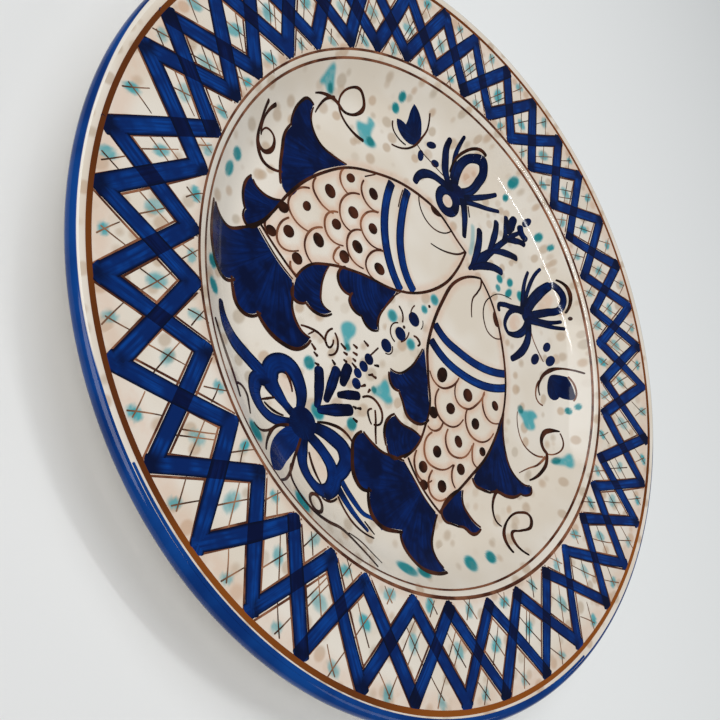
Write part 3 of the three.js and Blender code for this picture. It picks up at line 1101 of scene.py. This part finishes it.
def right_bow(wash):
    blue, lines = Paint(), Paint()
    blue.stroke([(32, 88), (31.5, 80), (31.5, 72), (33, 64)], [4.6, 6.0, 5.8, 5.3])
    blue.stroke(
        [(32.5, 90), (37, 91), (41, 90), (44, 86), (41, 78), (38, 71), (35.5, 65)],
        [3.2, 2.8, 3.9, 4.1, 3.9],
    )
    blue.dot(34.5, 63, 4.6, 4.0)
    blue.stroke([(49, 81.5), (45, 75), (41, 69.5), (36, 63)], [1.8, 2.5, 2.5])
    blue.stroke([(52.5, 80.5), (47, 74.5), (42, 68.5), (37, 62)], [1.8, 2.5, 2.5])
    blue.stroke([(23, 89.5), (24, 81.5), (25.5, 75.5), (29.5, 66)], [1.8, 2.5, 2.5])
    blue.stroke([(20, 81), (22, 75), (25, 69.5), (30.5, 62)], [1.8, 2.8, 2.8])
    blue.stroke([(31.5, 61), (27.5, 56), (27, 49.5), (29.5, 44.5), (33, 44)], [3.0, 2.5, 2.1])
    blue.stroke([(33, 44), (36.5, 48.5), (38, 55), (36.5, 61)], [2.1, 3.9, 3.9])
    blue.stroke([(30, 61), (25.5, 55.5), (22, 51.5), (20.5, 48), (22, 46.5)], [3.4, 2.8, 2.1])
    blue.stroke([(38, 61), (43, 53), (44, 47), (43.5, 41.5), (42.5, 37)], [3.7, 4.4, 4.1, 2.8])
    lines.stroke([(32, 93), (36.5, 94.5), (41, 93.5), (44.5, 91), (47, 86.5)], [1.0, 1.7, 1.2])
    lines.dot(50.5, 86, 1)
    blue.build("bow_right", BLUE_LIFT, NAVIES, "cobalt_glaze")
    build_lines(lines, "bow_right_lines")
    wash.dab(PEACH_WASH, 37, 80, 4, 7, amount=0.45)
    wash.dab(PEACH_WASH, 32, 52, 3.4, 5, amount=0.5)


def bottom_bow(wash):
    blue, pale, lines = Paint(), Paint(), Paint()
    left, right = blue.next_coat(), blue.next_coat()
    blue.stroke([
        (-7, -77), (
            -10, -73.5
        ), (-14, -71.5), (-19, -71), (-23, -73.5), (-24, -77.5), (-21, -81), (-15, -81.5),
        (-6, -80.5),
    ], [3.4, 5.0, 5.6, 6.8, 7.2, 7.2, 5.0, 3.0, 3.0], coat=left)
    blue.stroke([
        (-5, -82.5), (-8.5, -87), (-12.5, -89.8), (-18, -90.7), (-22.5, -88.5), (-24, -85), (-22, -82.5),
    ], [3.0, 3.5, 3.7, 4.0, 5.2, 6.2, 5.0], coat=left)
    blue.stroke(
        [(-24, -82), (-32, -84), (-40, -86), (-46, -85.5), (-51, -83)], [4.4, 4.8, 5.6, 4.8, 2.6], coat=left
    )
    blue.stroke([
        (1, -77), (5, -74), (9.5, -72), (14, -71), (
            18, -72.5
        ), (19.5, -76), (19.5, -80), (21.5, -84), (21.5, -88),
    ], [3.4, 4.6, 5.4, 5.6, 6.6, 6.2, 5.6, 6.2, 3.2], coat=right)
    blue.stroke([
        (1.5, -82), (4, -85.5), (8, -89), (13, -90.2), (18, -89.2), (20.5, -86), (19.5, -82), (16, -79.6),
        (11, -79), (6, -79.4), (1, -80.5),
    ], [3.4, 4.6, 4.2, 3.8, 4.2, 5.4, 5.4, 4.6, 4.0, 4.0, 3.6], coat=right)
    for _ in range(2):  # twice, so that it takes the colour of a second coat
        blue.dot(-2.5, -79.4, 5.9, 5.2)
    pale.stroke([(21, -79), (30.5, -79.5), (36, -79), (41, -76.5), (45.5, -76)], [2.2, 2.2, 1.6, 0.8])
    pale.stroke([(23, -82), (30.5, -82.5), (41, -82)], [2.6, 2.2, 1.6])
    blue.fill([
        [(-4.5, -82), (-6, -91), (-5.5, -97), (-3.5, -102.5)],
        [(-1, -105), (1.5, -102), (2.5, -95), (2.5, -88), (1, -82)],
    ], (-1, -82))
    for route, width in (
        ([(-5.5, -85), (-8, -89.5), (-8, -95), (-6.5, -101.5)], 1.2),
        ([(1, -84), (4, -90.5), (5.5, -96.5), (5, -101.5), (3.5, -104.5)], 1.2),
        ([(-8.5, -91), (-10, -95.5), (-12, -98), (-15, -99)], 0.9),
        (
            [
                (4.5, -93.5), (7, -98), (11, -99.5), (18, -99.5), (26.5, -96), (31, -93), (40, -91.5),
                (48.5, -92),
            ],
            1.3,
        ),
        ([(35, -91), (40, -89), (47, -88.5), (50, -88.5)], 0.6),
        ([(25, -85), (23.5, -88.5), (20.5, -90.5)], 0.9),
        ([(-28, -96), (-26, -94), (-22.5, -94), (-20, -96), (-18, -98)], 1.1),
        ([(-48, -91), (-40, -93), (-29.5, -96), (-24.5, -98.5)], 1.5),
        ([(-19.5, -74), (-16, -74.5), (-13, -76)], 0.9),
        ([(-15.5, -83.5), (-18, -88.5)], 0.9),
        ([(-16.5, -88), (-12, -86.5), (-9, -84.5)], 0.9),
        ([(6.5, -84), (11.5, -86), (17, -87)], 0.9),
        ([(1, -74), (4.5, -70), (10, -66.5), (15.5, -66)], 1.1),
        ([(38.5, -80.5), (44, -80.5)], 0.7),
        ([(25, -84), (29.5, -85), (35, -85.5), (44.5, -82)], 0.9),
    ):
        lines.stroke(route, [0.8 * width, 1.1 * width, 0.7 * width])
    lines.stroke(ellipse(19.2, -95, 3.1, 3.0), 1.3, closed=True)
    blue.build("bow_bottom", BLUE_LIFT, [BOW_BLUE, NAVY], "cobalt_glaze")
    pale.build("bow_bottom_ribbons", CROSS_LIFT, [ONE_COAT], "cobalt_glaze", grid=0)
    build_lines(lines, "bow_bottom_lines")
    wash.line(PEACH_WASH, [(-13, -76), (-18, -76)], 4, 0.3)
    wash.line(PEACH_WASH, [(8, -83), (15, -84)], 4, 0.3)


def bottom_sprig():
    """Leaves above the bottom bow, a column of dots, a scatter of small ticks and two curls."""
    blue, lines, ticks = Paint(), Paint(), Paint()
    blue.stroke([(-12.3, -61.2), (-8, -65), (-3.6, -70.2)], [4.2, 4.4, 2.8])
    blue.stroke([(-8, -54.5), (-5.5, -59.5), (-2.8, -65.4)], [4.2, 4.4, 2.9])
    blue.stroke([(-5.8, -49.2), (-4.6, -52), (-3, -55)], [4.4, 4.6, 3.2])
    blue.stroke([(4.3, -52.3), (1.6, -55.8), (-0.8, -59.5)], [3.4, 3.6, 2.4])
    blue.stroke([(6, -59), (3, -63.5), (-1.8, -70.4)], [4.3, 4.7, 2.9])
    for x, y, size in ((0.6, -49.7, 2.2), (-1.9, -46.4, 2), (-2.2, -42.2, 2.2), (-2.8, -38, 2.3)):
        blue.dot(x, y, size, size * 0.9)
    for x, y, turn in (
        (-10, -40.5, 20), (-8, -42.5, 30), (
            -6.5, -44.5, 20
        ), (-5, -46, 10), (1, -36.5, 50), (3.5, -40.5, 30),
        (2, -41.5, 60), (-8, -35, 10), (-13, -45.5, 10), (
            -10.5, -46.5, 30
        ), (-8.5, -48.5, 20), (6, -46.5, 100),
        (3, -47.5, 70), (-11, -53.5, 0), (8, -55, 50), (6.5, -56.5, 30), (10, -59.5, 20), (-20, -57.5, 0),
        (-17.5, -58.5, 10), (-14.5, -60.5, 30),
    ):
        end = np.array(polar(turn, 0.9 + jitter(0.3)))
        ticks.stroke([(x, y) - end, (x, y) + end], [0.7, 1.2])
    for route, width in (
        ([(-20.5, -45.5), (-20.5, -49), (-18.5, -51.5), (-16, -51.5), (-16, -49.5), (-17, -48)], 1.0),
        ([(-18.5, -45.5), (-15, -47), (-13, -50.5), (-14, -53.5)], 1.0),
        ([(-18, -51.5), (-22, -52), (-26, -54.5), (-28.5, -57)], 1.0),
        ([(-24, -53.5), (-24.5, -56.5)], 0.7),
        ([(6, -50.5), (8.5, -47), (12, -46), (16, -47), (18, -50), (16.5, -53)], 1.1),
        ([(13, -49), (15.5, -51), (18.5, -54), (22, -57)], 1.0),
        ([(11.5, -50), (11, -51.5), (13.5, -53.5), (15.5, -54)], 0.9),
    ):
        lines.stroke(route, [0.8 * width, width, 0.7 * width])
    blue.build("sprig_bottom", BLUE_LIFT, [FIN_BLUE, NAVY], "cobalt_glaze")
    build_lines(ticks, "sprig_bottom_ticks")
    build_lines(lines, "sprig_bottom_curls")


def left_tulip():
    blue, lines = Paint(), Paint()
    blue.fill([
        [
            (-73.5, 62.5), (-70, 64), (-66, 64), (-62, 61.5), (-59, 56), (-59.5, 50.5), (-64, 47.5),
            (-69, 48),
        ],
        [(-72, 50.5), (-70, 53)],
        [(-68, 54), (-69.5, 57), (-72, 60)],
    ], (-60, 55))
    blue.dot(-54.7, 63, 1.7, 3.3, -20)
    blue.dot(-47.2, 58.6, 1.8, 2.6, -20)
    blue.dot(-53.6, 52.3, 1.7, 3.0, 30)
    lines.stroke(
        [(-66.5, 69.5), (-62, 66.5), (-59.5, 59), (-58.5, 52), (-59.5, 45.5), (-64, 38.5)], [0.8, 1.1, 0.8]
    )
    lines.stroke([(-72, 47), (-69, 44.5), (-65, 44.5), (-61, 46.5)], 0.8)
    lines.stroke([(-58.5, 54), (-54, 54.5), (-50, 56), (-41, 59.5)], 0.5)
    blue.build("tulip_left", BLUE_LIFT, [NAVY], "cobalt_glaze")
    build_lines(lines, "tulip_left_lines")


def right_tulip():
    blue, lines, thin = Paint(), Paint(), Paint()
    blue.fill([
        [(70, 64), (66.5, 61), (63.5, 55.5), (64.5, 51.5), (70, 47), (73, 49)],
        [(74, 53), (77, 55), (79, 57.5)],
        [(77, 60.5), (73, 63)],
    ], (64, 55))
    blue.dot(52.8, 64.5, 2.0, 3.5, -8)
    blue.dot(58.8, 61.5, 2.3, 4.1, -12)
    blue.dot(51.8, 51.8, 2.2, 3.7, -4)
    lines.stroke(
        [(73.5, 71), (66, 65.5), (61.5, 57), (60.5, 48), (62.5, 43), (65, 41.5)], [1.0, 1.0, 2.2, 1.6, 0.9]
    )
    thin.stroke([(60.5, 46), (61.5, 41.5), (65, 38), (69.5, 39.5)], [1.2, 0.8])
    thin.stroke([(70.5, 64.5), (75.5, 63), (78.5, 60), (79.5, 57)], [1.0, 0.7])
    thin.stroke([(40, 60.5), (45, 58), (50, 57), (56, 56.5)], 0.7)
    blue.build("tulip_right", BLUE_LIFT, [NAVY], "cobalt_glaze")
    build_lines(lines, "tulip_right_leaf")
    build_lines(thin, "tulip_right_lines", CROSS_LIFT, RUSSET)


def curls():
    left, right, thin = Paint(), Paint(), Paint()
    left.stroke([
        (
            -95.5, 9.5
        ), (-93.5, 15), (-89.5, 20), (-84, 22.5), (-81.5, 28), (-83.5, 35), (-88, 35.5), (-91.5, 29),
        (-90, 22.5), (-84, 19.5), (-77, 20), (-71.5, 23),
    ], [0.6, 1.3, 1.5, 1.2, 1.9, 1.4, 0.9, 1.0, 1.1, 1.2, 1.7])
    left.stroke([(-91, 19.5), (-92, 14.5), (-91, 10), (-89.5, 6.5)], [1.4, 1.2, 1.0, 0.6])
    left.stroke([(-97.5, -15), (-97, -19), (-95, -23.5), (-91, -27)], [1.5, 1.0, 0.8])
    left.stroke(
        [(-99.5, -19), (-94.5, -25.5), (-89.5, -30), (-82, -31), (-76.5, -26)], [1.4, 1.1, 1.9, 1.4, 1.0]
    )
    left.stroke(
        [(-91.5, -26.5), (-92, -23), (-89, -20.5), (-85, -24), (-86, -29), (-89.5, -29.5)],
        [0.6, 0.9, 2.0, 1.0],
    )
    right.stroke([(84, 39), (80.5, 35), (78.5, 30), (79.5, 26), (85.5, 24.5)], [0.8, 2.2, 2.6, 2.2, 1.6])
    right.stroke([(85.5, 24.5), (88, 20.5), (88.5, 14), (87.5, 9), (86, 5.5)], [1.6, 1.7, 1.5, 0.8])
    thin.stroke([(86, 24.5), (89, 28.5), (89.5, 33.5), (85, 38.5)], 0.7)
    thin.stroke([(85, 21), (79.5, 16), (72, 14), (65, 17), (61, 21.5)], [0.9, 0.5])
    thin.stroke([(86, 22), (85, 15), (82, 8.5), (79.5, 2)], [1.4, 0.8, 0.4])
    right.stroke([(75.5, -15.5), (76, -19), (79, -23.5), (82, -25), (86.5, -24.5)], [1.8, 1.4, 1.0, 0.7])
    right.stroke([
        (94.5, -31), (
            90.5, -28.5
        ), (87.5, -20), (90, -11.5), (94, -8.5), (96.5, -13), (94, -18.5), (91.5, -22.5),
        (94, -26), (99.5, -27),
    ], [1.2, 1.7, 0.9, 1.0, 1.3, 1.2, 0.9, 1.5, 1.0])
    build_lines(left, "curls_left")
    build_lines(right, "curls_right")
    build_lines(thin, "curls_right_thin", CROSS_LIFT, RUSSET)


def turquoise_leaves(wash):
    """Soft heart-shaped leaves, each with a deeper dab at its stem."""
    for outline in (
        [(61, 22), (64, 27), (68.5, 32), (70.5, 32), (70.5, 28.5), (73, 27), (72, 23), (69, 21), (65, 22)],
        [(90, 23), (92, 29.5), (93.5, 33.5), (95.5, 32), (97, 27.5), (94, 26), (92.5, 24.5)],
        [
            (-78, 34.5), (-75, 35.5), (-73, 32), (
                -71.5, 29.5
            ), (-67, 29), (-68, 24.5), (-75, 23), (-79, 26),
            (-76.5, 31),
        ],
        [(-101, 22.5), (-97, 21.5), (-93, 19.5), (-93.5, 16.5), (-96.5, 15.5), (-98, 13), (-100, 16)],
        [(-18, -36), (-15.5, -35), (-13.5, -37), (-13, -41), (-10.5, -45), (-15, -43.5), (-19.5, -40.5)],
        [(8, -36), (10.5, -36.5), (13, -38), (15.5, -39), (15, -41.5), (11, -43.5), (6.5, -45), (7, -41)],
    ):
        wash.patch(TURQUOISE_WASH, outline, 0.9)
    for x, y, rx, ry, turn in (
        (-69.5, 27, 2.3, 2.3, 0), (-94.5, 18.5, 2.1, 1.5, 0), (61.5, 24.3, 2.0, 2.1, 0),
        (90.7, 25.5, 1.6, 2.7, -20), (-11.5, -43.8, 1.5, 1.3, 0), (7, -44, 1.5, 1.3, 0),
    ):
        wash.dab(DEEP_WASH, x, y, rx, ry, turn, 0.85)


def turquoise_dabs(wash):
    for x, y, rx, ry, turn in (
        (-16.6, -63, 2.3, 2.3, 0), (
            10.2, -61.7, 2.2, 2.2, 0
        ), (-1.8, -71.5, 3, 2.4, 0), (-13, -101, 3.5, 2.5, 0),
        (
            14, -101.5, 3.5, 2.5, 0
        ), (-88.5, -44, 2, 2.4, 0), (-85.5, -51, 1.8, 3, 20), (-63, -78.5, 2.2, 2.2, 0),
        (-56.5, -83.5, 2.6, 2, 0), (88, -41.5, 2, 2.6, 0), (82, -52, 2.6, 3, 0), (66.5, -74.5, 3, 1.8, 40),
        (60, -80, 4.5, 2, 30), (-19, 98.5, 2.5, 2.5, 0), (10, 97.5, 2, 2, 0), (-15, 92.5, 1.5, 1.5, 0),
        (17.5, 99.5, 1.5, 1.5, 0), (17, 64, 1.7, 2.4, 0), (12, 58.5, 2, 2, 0), (20, 59, 1.6, 3, 0),
        (14.5, 54, 1.6, 1.6, 0), (25.5, 66, 2.5, 2.5, 0), (-78.5, 57, 1.8, 2, 0), (-76, 52, 2, 2, 0),
        (82.5, 56, 1.3, 1.6, 0), (81, 51, 1.6, 1.6, 0),
    ):
        wash.dab(TURQUOISE_WASH, x, y, 1.15 * rx, 1.15 * ry, turn, 0.95)
        wash.dab(DEEP_WASH, x, y, rx, ry, turn, 0.70 + jitter(0.22))
    wash.line(TURQUOISE_WASH, [(-14.5, 60), (-10, 55), (-6.5, 49)], 2, 0.5)


well_wash, rim_wash = make_plate()
rim_painting(rim_wash)
rings()
left_fish(well_wash)
right_fish(well_wash)
centre_line(well_wash)
top_sprig()
left_bow(well_wash)
right_bow(well_wash)
bottom_bow(well_wash)
bottom_sprig()
left_tulip()
right_tulip()
curls()
turquoise_leaves(well_wash)
turquoise_dabs(well_wash)
well_wash.apply()
rim_wash.apply()


# ---------------------------------------------------------------- studio


def place_floor():
    """A pale sheet with painted light: it is a little paler behind the plate than in front of it, in place
    of more light falling on the far side.
    """
    finish = Finish("studio_floor_painted_light", 0.55)
    away = finish.node(
        "ShaderNodeVectorMath", {0: finish.place(), 1: (0.5, 0.85, 0)}, operation="DOT_PRODUCT"
    )
    # painted light: the floor's colour runs from darker in front of the plate to paler behind it, in place
    # of light that falls there
    finish.colour(
        finish.mix(finish.ramp(away.outputs[1], -230, 130), (0.81, 0.815, 0.81), (0.93, 0.945, 0.94))
    )
    bpy.ops.mesh.primitive_plane_add(size=8)
    floor = bpy.context.object
    floor.name = "floor"
    floor.data.materials.append(finish.material)


def area_light(name, location, size, power, colour=(1, 1, 1), width=None):
    """A round soft box at the given place in drawn millimetres, aimed at the plate, or a strip along
    the X axis if it has a width."""
    lamp = bpy.data.lights.new(name, "AREA")
    lamp.shape = "RECTANGLE" if width else "DISK"
    lamp.size = size * MM
    if width:
        lamp.size_y = width * MM
    lamp.energy = power
    lamp.color = colour
    holder = bpy.data.objects.new(name, lamp)
    holder.location = Vector(location) * MM
    if not width:
        holder.rotation_euler = holder.location.to_track_quat("Z", "Y").to_euler()
    bpy.context.scene.collection.objects.link(holder)


def light_studio():
    """A dim pale room, three soft boxes placed where the flat of the plate doesn't mirror them, and a
    thin strip overhead that draws a bright line on the far wall of the well, as in the photo."""
    world = bpy.data.worlds.new("studio")
    world.use_nodes = True
    world.node_tree.nodes["Background"].inputs["Color"].default_value = (0.93, 0.97, 1.0, 1)
    world.node_tree.nodes["Background"].inputs["Strength"].default_value = 0.15
    bpy.context.scene.world = world
    area_light("key_light", (-350, -750, 1100), 900, 8.5, (1, 0.98, 0.96))
    area_light("side_light", (1100, 100, 900), 700, 1.9, (0.98, 0.99, 1))
    area_light("back_light", (-600, 250, 1300), 850, 6.2, (0.96, 0.98, 1))
    area_light("strip_light", (50, 150, 1000), 500, 1.3, (0.98, 0.99, 1), width=24)
    bpy.context.scene.view_settings.view_transform = "Standard"


def place_camera():
    """The photo's camera: near the plate's lower left and above it, held nearly on its side."""
    location = Vector((-65.1, -234.9, 216.2)) * MM
    aim = Vector((-9.16, -55.66, 25.5)) * MM
    roll = math.radians(70.69)
    forward = (aim - location).normalized()
    level = forward.cross(Vector((0, 0, 1))).normalized()
    upright = level.cross(forward)
    right = math.cos(roll) * level + math.sin(roll) * upright
    up = right.cross(forward)
    camera = bpy.data.cameras.new("photo_camera")
    camera.lens = 39.53
    camera.sensor_width = 36
    camera.clip_start = 0.01
    holder = bpy.data.objects.new("photo_camera", camera)
    holder.matrix_world = Matrix.Translation(location) @ Matrix((right, up, -forward)).transposed().to_4x4()
    bpy.context.scene.collection.objects.link(holder)
    bpy.context.scene.camera = holder


place_floor()
light_studio()
place_camera()
